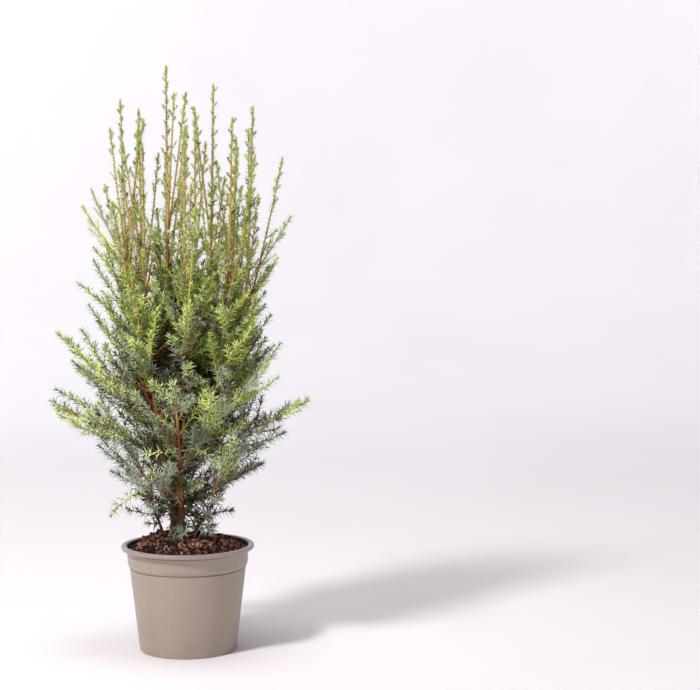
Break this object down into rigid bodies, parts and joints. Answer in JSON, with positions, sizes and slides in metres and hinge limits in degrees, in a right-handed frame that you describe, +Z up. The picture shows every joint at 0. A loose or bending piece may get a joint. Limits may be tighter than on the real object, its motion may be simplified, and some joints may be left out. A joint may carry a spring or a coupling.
{
  "type": "potted upright juniper",
  "caption": "Young upright juniper with several slim needled spires and low spreading shoots, rooted in bark mulch in a round tapered nursery pot.",
  "frame": {"origin": "middle of the pot's flat underside", "axes": "+Z up along the plant, the pictured front towards -Y, +X to its right"},
  "size_m": [0.3259, 0.2656, 0.741],
  "materials": {
    "pot": "moulded taupe plastic, slightly satin",
    "mulch": "damp bark chips, rough",
    "bark": "thin flaking bark, rough",
    "shoots": "short stiff needles, green with pale bands"
  },
  "bodies": {
    "root": {"pot": "pot", "mulch": "mulch", "trunk": "bark", "front_stem": "bark", "left_stem": "bark", "right_stem": "bark", "arm_back": "shoots", "arm_back_left": "shoots", "arm_back_right": "shoots", "arm_front": "shoots", "arm_left": "shoots", "arm_left_front": "shoots", "arm_right": "shoots", "arm_right_front": "shoots", "bough_back": "bark", "bough_back_left": "bark", "bough_front": "bark", "bough_left": "bark", "bough_left_back": "bark", "bough_left_front": "bark", "bough_right": "bark", "bough_right_back": "bark", "bough_right_centre": "bark", "bough_right_front": "bark", "bough_tall": "bark", "skirt_back": "shoots", "skirt_back_right": "shoots", "skirt_front": "shoots", "skirt_left": "shoots", "skirt_right": "shoots", "spire_back": "shoots", "spire_back_left": "shoots", "spire_front": "shoots", "spire_left": "shoots", "spire_left_back": "shoots", "spire_left_front": "shoots", "spire_right": "shoots", "spire_right_back": "shoots", "spire_right_centre": "shoots", "spire_right_front": "shoots", "spire_tall": "shoots"}
  },
  "joints": []
}
